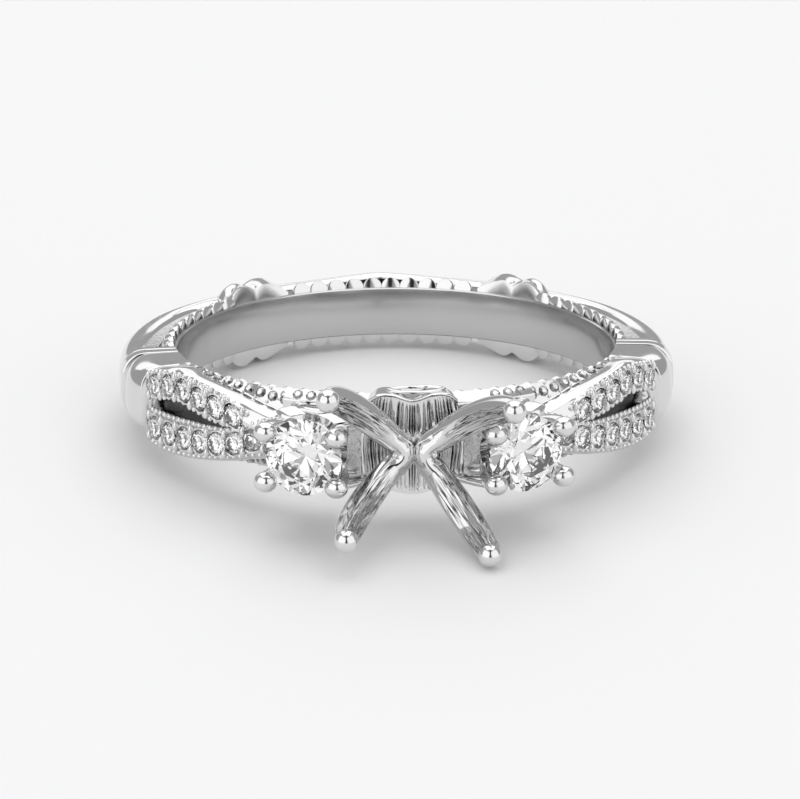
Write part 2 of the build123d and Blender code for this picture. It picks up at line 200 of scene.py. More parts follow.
# A piece of the ring: its skins joined in one mesh, merged, turned outwards and put on the frame;
# marks names a UV layer and gives a grid of places in it for each skin
def addPiece(name, skins, material, sharp=35.0, replaces=(), marks=None,
             mergeWithin=1e-7):
    points, quads, uvs, base = [], [], [], 0
    for index, (grid, wrapRows) in enumerate(skins):
        n, m = grid.shape[:2]
        i, j = np.meshgrid(np.arange(n if wrapRows else n - 1), np.arange(m), indexing="ij")
        row, nextRow, nextJ = i * m + base, (i + 1) % n * m + base, (j + 1) % m
        quad = np.stack([row + j, nextRow + j, nextRow + nextJ, row + nextJ], -1)
        quads.append(quad.reshape(-1, 4))
        uvs.append(marks[1][index].reshape(-1, 2) if marks else np.zeros((n * m, 2)))
        points.append(grid.reshape(-1, 3))
        base += n * m
    points, quads, uvs = lay(np.concatenate(points)), np.concatenate(quads), np.concatenate(uvs)
    mesh = bpy.data.meshes.new(name)
    mesh.from_pydata(points.tolist(), [], quads.tolist())
    if marks:
        layer = mesh.uv_layers.new(name=marks[0])
        layer.data.foreach_set("uv", uvs[quads.ravel()].ravel())
    skin = bmesh.new()
    skin.from_mesh(mesh)
    bmesh.ops.remove_doubles(skin, verts=skin.verts, dist=mergeWithin)
    bmesh.ops.recalc_face_normals(skin, faces=skin.faces)
    skin.to_mesh(mesh)
    skin.free()
    mesh.shade_smooth()
    mesh.set_sharp_from_angle(angle=math.radians(sharp))
    mesh.materials.append(material)
    piece = addObject(name, mesh)
    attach(piece, "root")
    if replaces:
        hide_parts(*replaces)
    print("made", name, "with", len(mesh.polygons), "faces")


# One new node with its settings, its socket values and its links
def addNode(tree, kind, settings=None, values=None, links=None):
    node = tree.nodes.new(kind)
    for key, value in (settings or {}).items():
        setattr(node, key, value)
    for socket, value in (values or {}).items():
        node.inputs[socket].default_value = value
    for socket, source in (links or {}).items():
        tree.links.new(source, node.inputs[socket])
    return node


# An sRGB hex colour as linear light, with full alpha
def colour(hexCode):
    parts = [int(hexCode[i:i + 2], 16) / 255 for i in (1, 3, 5)]
    return [p / 12.92 if p <= 0.04045 else ((p + 0.055) / 1.055) ** 2.4 for p in parts] + [1.0]


# A new material with its look's tint and roughness, its node tree and its shader
def newMaterial(name, look, metallic=1.0):
    material = bpy.data.materials.new(name)
    material.use_nodes = True
    shader = material.node_tree.nodes["Principled BSDF"]
    shader.inputs["Base Color"].default_value = colour(look["tint"])
    shader.inputs["Roughness"].default_value = look["roughness"]
    shader.inputs["Metallic"].default_value = metallic
    return material, material.node_tree, shader


# Rhodium plated white gold, buffed on a wheel: a near mirror, with faint waves left by the buff.
# The finger side is buffed by hand with a felt peg: softer and a little more wavy, and its tint is
# greyer as painted shade for the inside of the ring. Where no wheel reaches, the metal is as it
# came
# from the mould: satin, with a fine pebbled skin; deep in the eye of each shoulder its tint is dark
# grey, painted shade for that hollow
goldLook = {"tint": "#DEDEDE", "roughness": 0.08, "roughnessMost": 0.14, "grainMm": 0.9,
            "depthMm": 0.004, "strength": 0.5}
# Painted shade: the finger side's tint is greyer than the outer gold's; its roughness and waves are
# real
insideBuffAndShadeLook = {"tint": "#C0C0C0", "roughness": 0.12, "roughnessMost": 0.20, "grainMm": 4.0,
              "depthMm": 0.16, "strength": 0.5}
castLook = {"tint": "#CACACA", "roughness": 0.24, "grainMm": 0.16, "depthMm": 0.03,
            "strength": 0.8}
# Painted shade: the eye's floor is tinted dark grey for the shade in that hollow
eyeCastAndShadeLook = {"tint": "#626262", "roughness": 0.28, "grainMm": 0.16, "depthMm": 0.05,
           "strength": 0.8}


def whiteGold(name, look):
    material, tree, shader = newMaterial(name, look)
    place = addNode(tree, "ShaderNodeTexCoord")
    grain = addNode(tree, "ShaderNodeTexNoise",
        values={"Scale": 1000 / look["grainMm"], "Detail": 2.0},
        links={"Vector": place.outputs["Object"]})
    if "roughnessMost" in look:
        gloss = addNode(tree, "ShaderNodeMapRange",
            values={"From Min": 0.3, "From Max": 0.7, "To Min": look["roughness"],
                    "To Max": look["roughnessMost"]},
            links={"Value": grain.outputs["Fac"]})
        tree.links.new(gloss.outputs["Result"], shader.inputs["Roughness"])
    bump = addNode(tree, "ShaderNodeBump",
        values={"Strength": look["strength"], "Distance": look["depthMm"] / 1000},
        links={"Height": grain.outputs["Fac"]})
    tree.links.new(bump.outputs["Normal"], shader.inputs["Normal"])
    return material


# The same metal where a file has run along it and the polish hasn't taken the scratches out: long
# thin grooves on each claw's inner face and away from the cross, with painted shade, a near black
# tint, at their bottoms. The UV layer gives millimetres from the cross and across the face, or
# offFaceMm where it isn't the face
fileLook = {"tint": "#DCDCDC", "grooveAndShade": "#242424", "roughness": 0.08, "alongPerMm": 0.38,
            "acrossPerMm": 7.5, "grooveShare": 0.045, "depthMm": 0.03, "rootMm": 0.9,
            "fullMm": 1.9, "faceMm": 0.40, "fadeMm": 0.02, "offFaceMm": 9.0}


def filedWhiteGold(look):
    material, tree, shader = newMaterial("filedWhiteGold", look)
    smooth = {"interpolation_type": "SMOOTHSTEP"}
    absolute, times = {"operation": "ABSOLUTE"}, {"operation": "MULTIPLY"}
    place = addNode(tree, "ShaderNodeUVMap", {"uv_map": "alongClaw"})
    split = addNode(tree, "ShaderNodeSeparateXYZ", links={"Vector": place.outputs["UV"]})
    distance = addNode(tree, "ShaderNodeMath", absolute, links={0: split.outputs["X"]})
    outer = addNode(tree, "ShaderNodeMapRange", smooth,
        values={"From Min": look["rootMm"], "From Max": look["fullMm"]},
        links={"Value": distance.outputs["Value"]})
    aside = addNode(tree, "ShaderNodeMath", absolute, links={0: split.outputs["Y"]})
    face = addNode(tree, "ShaderNodeMapRange",
        values={"From Min": look["faceMm"] + look["fadeMm"],
                "From Max": look["faceMm"] - look["fadeMm"]},
        links={"Value": aside.outputs["Value"]})
    where = addNode(tree, "ShaderNodeMath", times,
        links={0: outer.outputs["Result"], 1: face.outputs["Result"]})
    stretch = addNode(tree, "ShaderNodeMapping",
        values={"Scale": (look["alongPerMm"], look["acrossPerMm"], 1.0)},
        links={"Vector": place.outputs["UV"]})
    scratch = addNode(tree, "ShaderNodeTexNoise",
        values={"Scale": 1.0, "Detail": 2.0, "Roughness": 0.6},
        links={"Vector": stretch.outputs["Vector"]})
    offMiddle = addNode(tree, "ShaderNodeMath", {"operation": "SUBTRACT"}, values={1: 0.5},
        links={0: scratch.outputs["Fac"]})
    fromGroove = addNode(tree, "ShaderNodeMath", absolute, links={0: offMiddle.outputs["Value"]})
    grooveAndShade = addNode(tree, "ShaderNodeMapRange", smooth,
        values={"From Min": look["grooveShare"], "From Max": 0.0},
        links={"Value": fromGroove.outputs["Value"]})
    cut = addNode(tree, "ShaderNodeMath", times,
        links={0: grooveAndShade.outputs["Result"], 1: where.outputs["Value"]})
    bump = addNode(tree, "ShaderNodeBump", {"invert": True},
        values={"Strength": 1.0, "Distance": look["depthMm"] / 1000},
        links={"Height": cut.outputs["Value"]})
    # The grooves' bottoms are mixed towards a near black tint: painted shade; the bump above is the
    # real groove
    tint = addNode(tree, "ShaderNodeMix", {"data_type": "RGBA"},
        values={"A": colour(look["tint"]), "B": colour(look["grooveAndShade"])},
        links={"Factor": cut.outputs["Value"]})
    tree.links.new(tint.outputs[2], shader.inputs["Base Color"])
    tree.links.new(bump.outputs["Normal"], shader.inputs["Normal"])
    return material


# Cut diamond: clear, hard edged, with the strong bending of light that makes it flash
stoneLook = {"tint": "#FFFFFF", "bending": 2.417, "roughness": 0.0}


def cutDiamond(look):
    material, _, shader = newMaterial("cutDiamond", look, metallic=0.0)
    shader.inputs["Transmission Weight"].default_value = 1.0
    shader.inputs["IOR"].default_value = look["bending"]
    return material


gold = whiteGold("polishedWhiteGold", goldLook)
insideBuffAndShadeGold = whiteGold("insideBuffAndShadeWhiteGold", insideBuffAndShadeLook)
cast, eyeCastAndShade = whiteGold("castWhiteGold", castLook), whiteGold("eyeCastAndShadeWhiteGold", eyeCastAndShadeLook)
filed, diamond = filedWhiteGold(fileLook), cutDiamond(stoneLook)
print("made the materials")

# Finger sleeve: a smooth wall, a little crowned inside for comfort, whose half length grows
# towards the head
sleeve = {"boreR": 8.5, "wall": 0.7, "comfort": 0.07, "smoothHalf": 0.98, "frontRise": 0.35,
          "riseFrom": 75.0, "rimRound": 0.05, "rimFrom": 0.93, "innerTo": 0.95,
          "innerSteps": 17, "rimAt": 0.985, "steps": 400}


# Half the sleeve's length: level round the back, then it grows with the cosine of the angle
def sleeveHalf(angle):
    start = math.cos(math.radians(sleeve["riseFrom"]))
    share = (np.cos(np.radians(angle)) - start) / (1 - start)
    return sleeve["smoothHalf"] + sleeve["frontRise"] * np.maximum(0, share)


# The sleeve's skin: the inner side is a shallow parabola from rim to rim with softened rims, the
# outer side is straight, and the section is carried once round the hole
def makeSleeve():
    angle = np.linspace(0, 360, sleeve["steps"], endpoint=False)
    rim = np.array([sleeve["rimAt"], 1.0])
    inside = np.linspace(-sleeve["innerTo"], sleeve["innerTo"], sleeve["innerSteps"])
    t = np.concatenate([-rim[::-1], inside, rim])
    soft = sleeve["rimRound"] * ease(np.abs(t), sleeve["rimFrom"], 1.0) ** 2
    inner = sleeve["boreR"] + sleeve["comfort"] * t**2 + soft
    r = np.concatenate([inner, [sleeve["boreR"] + sleeve["wall"]] * 2])
    z = sleeveHalf(angle)[:, None] * np.concatenate([t, [1.0, -1.0]])
    addPiece("fingerSleeve", [closeSkin(polar(angle[:, None], r, z), True)], insideBuffAndShadeGold,
             replaces=["ring_mount"])


makeSleeve()

# Scalloped lobes: round discs that stand half out of both edges of the sleeve and lean back
lobe = {"r": 0.375, "height": 0.41, "setBack": 0.14, "depth": 0.52, "edge": 0.035,
        "bevel": 0.3, "leanDeg": 11.0, "pitch": 0.72, "collarFrom": 70.0, "collarTo": 88.0,
        "knotFrom": 134.5, "knotTo": 155.0, "sides": 24}
lobeBack = table("r depth",
    (0.94, 0.40),
    (0.84, 0.62),
    (0.66, 0.80),
    (0.40, 0.94),
    (0.00, 1.00))


def lobeTop(angle):
    return sleeveHalf(angle) + lobe["height"]


# Equal steps round the hole at the lobes' pitch, without those under the collars and the knots
def lobeAngles():
    count = int(2 * math.pi * sleeve["boreR"] / lobe["pitch"])
    angle = (np.arange(count) + 0.5) * 360 / count
    turn = np.where(angle > 180, 360 - angle, angle)
    kept = (turn < lobe["collarFrom"]) | (turn > lobe["collarTo"])
    kept &= (turn < lobe["knotFrom"]) | (turn > lobe["knotTo"])
    return angle[kept]


# A disc about a line that points away from the hole: flat face, fine bevel, domed behind
def makeLobes():
    r, edge, lean = lobe["r"], lobe["edge"], math.radians(lobe["leanDeg"])
    bevel = lobe["bevel"] * edge
    profile = [(0, 0), (r - edge, 0), (r - bevel, bevel), (r, edge)]
    profile += [(r * row["r"], lobe["depth"] * row["depth"]) for row in lobeBack]
    profile, turn = np.array(profile), wholeTurn(lobe["sides"])
    aside, up = profile[:, :1] * np.cos(turn), profile[:, :1] * np.sin(turn)
    back = profile[:, 1:] * np.ones_like(turn)
    out = sleeve["boreR"] + lobe["setBack"] + back * math.cos(lean) + up * math.sin(lean)
    rise = up * math.cos(lean) - back * math.sin(lean)
    skins = []
    for angle in lobeAngles():
        for face in (1, -1):
            z = face * (lobeTop(angle) - r + rise)
            skins.append((polar(angle + np.degrees(aside / out), out, z), False))
    addPiece("sleeveLobes", skins, gold, sharp=40)


makeLobes()

# Back band: from collar to collar round the back, waisted at the knots, with a soft point
band = {"from": 84.0, "sideR": 10.82, "sideWall": 1.17, "holdTo": 120.0, "waistFrom": 141.0,
        "waistTo": 158.0, "waistR": 10.2, "waistWall": 0.68, "peakR": 11.0, "peakWall": 0.50,
        "half": 1.0, "backHalf": 1.06, "drop": 0.30, "dropLost": 0.8, "rimWide": 0.50,
        "rimLost": 0.5, "rimFall": 0.05, "innerHalf": 0.50, "innerInset": 0.14,
        "pointFrom": 170.0, "pointRound": 2.5, "pointShift": 0.35, "innerRound": 0.06,
        "rimRound": 0.16, "edgeRound": 0.30, "crownAt": 0.5, "crownRound": 0.4,
        "cornerSteps": 7, "steps": 260}


# The band's outer radius by angle: level from the collar, an eased fall to the waist, then a
# straight run to the point
def bandRadius(turn):
    side, waist = band["sideR"], band["waistR"]
    eased = side + (waist - side) * ease(turn, band["holdTo"], band["waistFrom"])
    a, t = np.radians(band["waistTo"]), np.radians(turn)
    start = np.array([waist * np.sin(a), -waist * np.cos(a)])
    run = np.array([0.0, band["peakR"]]) - start
    straight = (start[0] * run[1] - start[1] * run[0]) / (np.sin(t) * run[1] + np.cos(t) * run[0])
    return np.where(turn > band["waistTo"], straight, eased)


# The band: a section of eight rounded corners carried round the back. Its sizes ease from those
# at the collar to those at the waist, and the angle is softened near the point as a hyperbola
def makeBand():
    angle = np.linspace(band["from"], 360 - band["from"], band["steps"])
    turn = 180 - np.abs(180 - angle)
    point = band["pointRound"]
    soft = 180 - np.sqrt((180 - turn) ** 2 + point**2) + point * band["pointShift"]
    turn = np.where(turn > band["pointFrom"], np.minimum(soft, 180), turn)
    outer = bandRadius(turn)
    wall = np.interp(turn, [band["holdTo"], band["waistFrom"], 180],
                     [band["sideWall"], band["waistWall"], band["peakWall"]])
    back = ease(turn, band["holdTo"], band["waistFrom"])
    half = band["half"] + (band["backHalf"] - band["half"]) * back
    drop = band["drop"] * (1 - band["dropLost"] * back)
    wide = band["rimWide"] * (1 - band["rimLost"] * back)
    low = band["innerHalf"] + (half - band["innerInset"] - band["innerHalf"]) * back
    corners = bothHalves([(outer - wall, -low, band["innerRound"]),
                          (outer - drop - wide, -half + band["rimFall"], band["rimRound"]),
                          (outer - drop, -half, band["edgeRound"]),
                          (outer, -half * band["crownAt"], band["crownRound"])])
    addPiece("backBand", [ringSkin(angle, corners, band["cornerSteps"])], gold)


makeBand()

# Gallery between the band and the sleeve, left as cast, a pebbled slope behind the lobes
hollow = {"from": 86.0, "to": 134.0, "innerR": 9.42, "outerR": 10.1, "innerZ": 0.62,
          "outerZ": 0.84, "steps": 90}


# A four sided section, higher outside than inside, that falls with the band to its waist
def makeBandHollows():
    turn = np.linspace(hollow["from"], hollow["to"], hollow["steps"])
    back = ease(turn, band["holdTo"], band["waistFrom"])
    outer = hollow["outerR"] - (band["sideR"] - band["waistR"]) * back
    corners = bothHalves([(hollow["innerR"], -hollow["innerZ"], 0), (outer, -hollow["outerZ"], 0)])
    addPiece("bandHollows", [ringSkin(turn, corners, hand=hand) for hand in (-1, 1)], cast)


makeBandHollows()

# Ribbon knots: a ribbon folded over the sleeve and the band, its waved edge flush with the hole
knot = {"from": 134.0, "to": 154.0, "outerFrom": 139.0, "outerTo": 156.0, "innerR": 8.58,
        "tilt": 0.17, "flatR": 9.62, "outerR": 10.36, "rim": 1.05, "side": 0.5, "fold": 0.04,
        "foldAt": 0.49, "foldLean": 0.08, "foldWidth": 0.05, "dimple": 0.20, "dimpleAt": 0.13,
        "dimpleWidth": 0.075, "dimpleOut": 0.62, "dimpleLong": 0.27, "crownBy": 0.8,
        "most": 1.635, "steps": 140, "topSteps": 24, "sideSteps": 14}
knotRows = table("share edge crown",
    (0.00, 0.10, 0.02),
    (0.10, 0.40, 0.37),
    (0.22, 0.575, 0.50),
    (0.31, 0.57, 0.47),
    (0.41, 0.45, 0.39),
    (0.48, 0.38, 0.44),
    (0.54, 0.46, 0.50),
    (0.61, 0.52, 0.53),
    (0.71, 0.45, 0.49),
    (0.84, 0.29, 0.29),
    (0.95, 0.14, 0.08),
    (1.00, 0.03, 0.01))


# A knot's skin: a plate flush with the hole that leans back a little, a top that goes from the
# waved edge to the crown with a slanting fold and a dimple, and a quarter ellipse to the band
def knotSkin(hand):
    u = np.linspace(0, 1, knot["steps"])[:, None]
    w = np.linspace(0, 1, knot["topSteps"])[None]
    q = np.linspace(0, np.pi / 2, knot["sideSteps"])[None, 1:]
    edge, crown = along(knotRows, "edge", u), along(knotRows, "crown", u)
    fold = np.exp(-((u - knot["foldAt"] + knot["foldLean"] * w) / knot["foldWidth"]) ** 2)
    dimple = np.exp(-((u - knot["dimpleAt"]) / knot["dimpleWidth"]) ** 2
                    - ((w - knot["dimpleOut"]) / knot["dimpleLong"]) ** 2)
    level = knot["rim"] + edge + (crown - edge) * ease(w, 0, knot["crownBy"])
    level = np.minimum(level, knot["most"]) - knot["fold"] * fold - knot["dimple"] * dimple
    start = knot["innerR"] + knot["tilt"]
    flat = 0 * u + start + (knot["flatR"] - start) * w
    roundR = 0 * u + knot["flatR"] + (knot["outerR"] - knot["flatR"]) * np.sin(q)
    roundZ = knot["side"] + (level[:, -1:] - knot["side"]) * np.cos(q)
    r = np.concatenate([0 * u + knot["innerR"], flat, roundR], 1)
    z = np.concatenate([0 * u + knot["side"], level, roundZ], 1)
    outward = (r - knot["innerR"]) / (knot["outerR"] - knot["innerR"])
    first = knot["from"] + (knot["outerFrom"] - knot["from"]) * outward
    last = knot["to"] + (knot["outerTo"] - knot["to"]) * outward
    angle = hand * (first + (last - first) * u)
    return closeSkin(np.concatenate([polar(angle, r, z), polar(angle, r, -z)[:, ::-1]], 1))


addPiece("ribbonKnots", [knotSkin(-1), knotSkin(1)], gold, sharp=38)

# Collars: three ridges where each shoulder starts, the front one broad and barrel shaped
collar = {"front": 70.0, "span": 18.0, "r": 10.95, "half": 1.35, "innerR": 8.63,
          "grooveR": 0.945, "grooveHalf": 0.89, "edgeDeg": 0.5, "innerRound": 0.05,
          "outerRound": 1.15, "cornerSteps": 14, "steps": 360}
collarRidges = table("start end radius half barrel",
    (0.00, 0.61, 1.000, 1.00, 0.022),
    (0.66, 0.83, 0.994, 0.98, 0.0),
    (0.87, 1.00, 0.988, 0.95, 0.0))


# A ridge's height: a quarter circle up at each end, and level or slightly crowned between them;
# the outer corners of the section are well rounded
def makeCollars():
    turn = collar["front"] + np.linspace(0, 1, collar["steps"]) * collar["span"]
    radius, half = (np.full_like(turn, collar[key]) for key in ("grooveR", "grooveHalf"))
    for ridge in collarRidges:
        first, last = (collar["front"] + ridge[key] * collar["span"] for key in ("start", "end"))
        inside = np.clip(np.minimum(turn - first, last - turn) / collar["edgeDeg"], 0, 1)
        rise = np.sqrt(1 - (1 - inside) ** 2)
        radius += (ridge["radius"] - collar["grooveR"]) * rise
        half += (ridge["half"] - collar["grooveHalf"]) * rise
        middle = (2 * turn - first - last) / (last - first)
        radius -= np.where(np.abs(middle) < 1, ridge["barrel"] * middle**2, 0)
    half *= collar["half"]
    corners = bothHalves([(collar["innerR"], -half, collar["innerRound"]),
                          (radius * collar["r"], -half, collar["outerRound"])])
    skins = [ringSkin(turn, corners, collar["cornerSteps"], hand) for hand in (-1, 1)]
    addPiece("shoulderCollars", skins, gold, sharp=40)


makeCollars()

# Split shoulders: an upper and a lower strand each side, with rows by angle that give heights as
# shares of the shoulder's half height, and the angle past which no more stones are set
shoulder = {"outR": 10.2, "outRise": 0.2, "riseFrom": 54.0, "riseTo": 70.0, "crestR": 9.35,
            "inR": 8.95, "half": 1.7, "bulge": 0.11, "bulgeRound": 0.8, "from": 74.0,
            "to": 27.0, "steps": 330, "rim": 0.05, "cutDown": 0.13, "edgeRound": 0.05,
            "cornerSteps": 5}
seat = {"r": 0.47, "deep": 0.5, "floor": 0.1, "leastR": 0.01, "leastFloor": 0.005,
        "leastDeep": 0.002, "lipRound": 0.02, "floorRound": 0.03}
strands = {
    "upper": {"face": 1, "lastStone": 40.0, "rows": table("angle low high crest",
        (73.0, 0.01, 0.64, 0.62),
        (66.0, 0.14, 0.85, 0.86),
        (60.0, 0.27, 0.95, 1.00),
        (54.0, 0.17, 0.93, 0.91),
        (48.0, 0.06, 0.85, 0.84),
        (42.0, 0.02, 0.70, 0.74),
        (37.0, -0.05, 0.44, 0.62),
        (30.0, -0.20, 0.16, 0.46))},
    "lower": {"face": -1, "lastStone": 32.0, "rows": table("angle low high crest",
        (73.0, -0.94, -0.13, 0.92),
        (66.0, -1.00, -0.11, 0.98),
        (60.0, -1.00, -0.10, 1.00),
        (54.0, -0.94, -0.07, 0.91),
        (48.0, -0.84, -0.04, 0.84),
        (42.0, -0.71, 0.04, 0.74),
        (37.0, -0.58, 0.26, 0.62),
        (30.0, -0.45, 0.50, 0.46))},
}
pave = {"first": 67.3, "pitch": 0.94, "d": 0.92, "sink": 0.02}


# How far out a strand's face stands: further towards the collar
def strandR(angle):
    return shoulder["outR"] + shoulder["outRise"] * ease(angle, shoulder["riseFrom"],
                                                         shoulder["riseTo"])


# A height from a strand's rows, and the line halfway between its two edges
def strandZ(strand, column, angle):
    return shoulder["half"] * along(strand["rows"], column, angle)


def strandMiddle(strand, angle):
    low, high = (along(strand["rows"], column, angle) for column in ("low", "high"))
    return shoulder["half"] * (low + high) / 2


# Stone places: equal steps along the strand's middle line, which climbs as it runs
def stoneAngles(strand):
    angles, angle = [], pave["first"]
    while angle > strand["lastStone"]:
        angles.append(angle)
        level = math.degrees(pave["pitch"] / shoulder["outR"])
        climb = float(strandMiddle(strand, angle - level) - strandMiddle(strand, angle))
        angle -= math.degrees(math.sqrt(pave["pitch"] ** 2 - climb**2) / shoulder["outR"])
    return np.array(angles)


# A strand's section: an outer face sunk in a round seat under each stone, a polished bevel that
# bulges a little, and a sloped side face; each corner slides with the angle
def strandSkin(strand, hand):
    turn, face = np.linspace(shoulder["from"], shoulder["to"], shoulder["steps"]), strand["face"]
    clipped = np.clip(turn, strand["rows"][-1]["angle"], strand["rows"][0]["angle"])
    near, far = ("low", "high") if face > 0 else ("high", "low")
    nearZ, farZ = strandZ(strand, near, clipped), strandZ(strand, far, clipped)
    crest = face * shoulder["half"] * along(strand["rows"], "crest", clipped)
    away = np.abs(turn[:, None] - stoneAngles(strand)[None]).min(1)
    sunk = np.sqrt(np.clip(1 - (np.radians(away) * shoulder["outR"] / seat["r"]) ** 2, 0, 1))
    out, middle = strandR(turn), (nearZ + farZ) / 2
    reach = face * (seat["leastR"] + seat["r"] * sunk)
    floor = face * (seat["leastFloor"] + seat["floor"] * sunk)
    deep, edge = out - seat["leastDeep"] - seat["deep"] * sunk, out - shoulder["cutDown"]
    midR = (out + shoulder["crestR"]) / 2 + shoulder["bulge"]
    midZ = (farZ + crest) / 2 + face * shoulder["bulge"]
    rim, soft = face * shoulder["rim"], shoulder["edgeRound"]
    lip, bottom = seat["lipRound"], seat["floorRound"]
    corners = [(shoulder["inR"], nearZ, soft), (edge, nearZ, soft),
               (out, middle - reach - rim, lip), (out, middle - reach, lip),
               (deep, middle - floor, bottom), (deep, middle + floor, bottom),
               (out, middle + reach, lip), (out, middle + reach + rim, lip), (edge, farZ, soft),
               (midR, midZ, shoulder["bulgeRound"]), (shoulder["crestR"], crest, soft),
               (shoulder["inR"], face * lobeTop(turn), soft)]
    return ringSkin(turn, corners, shoulder["cornerSteps"], hand)


addPiece("splitShoulders", [strandSkin(strand, hand) for hand in (-1, 1)
                            for strand in strands.values()], gold, sharp=30)

# The floor of the eye between the strands, left as cast, with a dark grey tint that is painted
# shade
eye = {"from": 72.5, "to": 36.0, "innerR": 9.1, "outerR": 9.5, "lowIn": 0.2, "highIn": 0.15,
       "steps": 40}


# A four sided bar that follows the lower edge of each strand
def makeEyeFloors():
    turn = np.linspace(eye["from"], eye["to"], eye["steps"])
    low = strandZ(strands["lower"], "low", turn) + eye["lowIn"]
    high = strandZ(strands["upper"], "low", turn) + eye["highIn"]
    corners = [(eye["innerR"], low, 0), (eye["outerR"], low, 0), (eye["outerR"], high, 0),
               (eye["innerR"], high, 0)]
    skins = [ringSkin(turn, corners, hand=hand) for hand in (-1, 1)]
    addPiece("shoulderEyeFloors", skins, eyeCastAndShade)


makeEyeFloors()

# A small cut stone, as shares of its width: pavilion, girdle, kite facets and a table
cut = {"sides": 16, "culet": 0.03, "pavilion": -0.43, "girdle": 0.015, "crownMid": 0.40,
       "crownRise": 0.085, "table": 0.29, "crown": 0.15}


# Rings of sixteen points from culet to table; every other point is drawn in to the straight edge
# between its neighbours, which makes eight flat sides and the kites between them
def cutStone(d):
    p, even = wholeTurn(cut["sides"]), np.arange(cut["sides"]) % 2 == 0
    inward = math.cos(2 * math.pi / cut["sides"])
    chord, drawn = np.where(even, 1.0, inward), np.where(even, inward, 1.0)
    rings = [(cut["culet"], cut["pavilion"]), (0.5, -cut["girdle"]), (0.5, cut["girdle"]),
             (cut["crownMid"] * drawn, cut["crownRise"]), (cut["table"] * chord, cut["crown"])]
    return closeSkin(turned(p, rings) * d)


# Each strand's stones in one piece, each stone turned to face away from the hole
def makeStrandStones():
    for side, hand in (("left", -1), ("right", 1)):
        for level, strand in strands.items():
            skins = []
            for angle in stoneAngles(strand):
                stone, wraps = cutStone(pave["d"])
                r, middle = float(strandR(angle)) - pave["sink"], float(strandMiddle(strand, angle))
                skins.append((onRing(stone, hand * angle, r, middle), wraps))
            addPiece("pave" + side.title() + level.title(), skins, diamond, sharp=1,
                     replaces=["strand_stones_" + side + "_" + level])


makeStrandStones()

# Grains: beads of metal raised between the stones, pushed over their edges, and finer ones along
# the edges of each strand and of the side face's row of stones
grain = {"r": 0.13, "across": 0.41, "long": 1.6, "lift": 0.015, "edgeR": 0.125, "edgeIn": 0.10,
         "edgeUp": 0.02, "edgePitch": 0.31, "edgeFrom": 71.0, "edgePast": 3.0, "faceR": 0.07,
         "facePitch": 0.56, "faceFirst": 63.0, "faceLast": 33.0, "faceShares": (0.14, 0.86),
         "fineRings": 7, "fineSides": 8}


# A small ball with few faces
def fineGrain(middle, r):
    return ball(middle, r, rings=grain["fineRings"], sides=grain["fineSides"])


# A pair of long beads in each gap between stones, and round beads at even steps inside both edges
def strandGrains(strand, hand):
    stones = stoneAngles(strand)
    half = math.degrees(pave["pitch"] / 2 / shoulder["outR"])
    step = math.degrees(grain["edgePitch"] / shoulder["outR"])
    skins = []
    gaps = np.concatenate([stones[:1] + half, (stones[1:] + stones[:-1]) / 2, stones[-1:] - half])
    for turn in gaps:
        for side in (-1, 1):
            z = strandMiddle(strand, turn) + side * grain["across"]
            at = polar(hand * turn, strandR(turn) + grain["lift"], z)
            skins.append(ball(at, grain["r"], (1, 1, grain["long"])))
    for turn in np.arange(grain["edgeFrom"], strand["lastStone"] - grain["edgePast"], -step):
        r = strandR(turn) - shoulder["cutDown"] + grain["edgeUp"]
        for column, side in (("low", 1), ("high", -1)):
            z = float(strandZ(strand, column, turn)) + side * grain["edgeIn"]
            skins.append(fineGrain(polar(hand * turn, r, z), grain["edgeR"]))
    return skins


# Two rows of beads at even steps, on the line from a side face's foot to its crest
def faceGrains(hand, face):
    skins, step = [], math.degrees(grain["facePitch"] / shoulder["crestR"])
    for turn in np.arange(grain["faceFirst"], grain["faceLast"], -step):
        top, crest = float(lobeTop(turn)), float(strandZ(strands["upper"], "crest", turn))
        for share in grain["faceShares"]:
            r = shoulder["inR"] + (shoulder["crestR"] - shoulder["inR"]) * share
            at = polar(hand * turn, r, face * (top + (crest - top) * share))
            skins.append(fineGrain(at, grain["faceR"]))
    return skins


def makeGrains():
    skins = []
    for hand in (-1, 1):
        skins += strandGrains(strands["upper"], hand) + strandGrains(strands["lower"], hand)
        skins += faceGrains(hand, 1) + faceGrains(hand, -1)
    addPiece("paveGrains", skins, gold, sharp=60)


makeGrains()

# Gallery: the base behind the head, a fluted wall with a bowed rim, and slotted eyelets. The rows
# give the wall's heights, as shares of its top and bottom, by the share across it
gallery = {"baseFrom": 31.0, "baseSteps": 90, "edge": 1.34, "wallR": 10.15, "backR": 9.3,
           "wallHalf": 2.2, "footWide": 0.86, "bellyWide": 0.08, "bellyAt": 0.4,
           "topLost": 0.16, "topLostFrom": 0.45, "top": 2.05, "bottom": 1.95, "steps": 420,
           "rim": 0.08, "rimOut": 0.2, "rimHalf": 0.78, "rimSteps": 120, "rimSides": 12}
wallRows = table("across top low",
    (-1.0, 0.88, -0.62),
    (-0.8, 0.99, -0.76),
    (-0.45, 1.01, -0.90),
    (0.0, 0.91, -0.98),
    (0.45, 1.01, -0.90),
    (0.8, 0.99, -0.76),
    (1.0, 0.88, -0.62))
# The flutes: how many, how deep and how sharp, where they run out, and the waves that make them
# uneven in width and in depth
flute = {"count": 23, "depth": 0.18, "sharp": 0.8, "ridge": 0.9, "lowFrom": 0.03, "lowTo": 0.12,
         "highFrom": 0.86, "highTo": 0.95, "shift": 0.05, "shiftWave": 9.3, "shiftStart": 0.4,
         "fineShift": 0.4, "fineWave": 23, "leastDepth": 0.7, "moreDepth": 0.3,
         "depthWave": 17, "depthStart": 1}


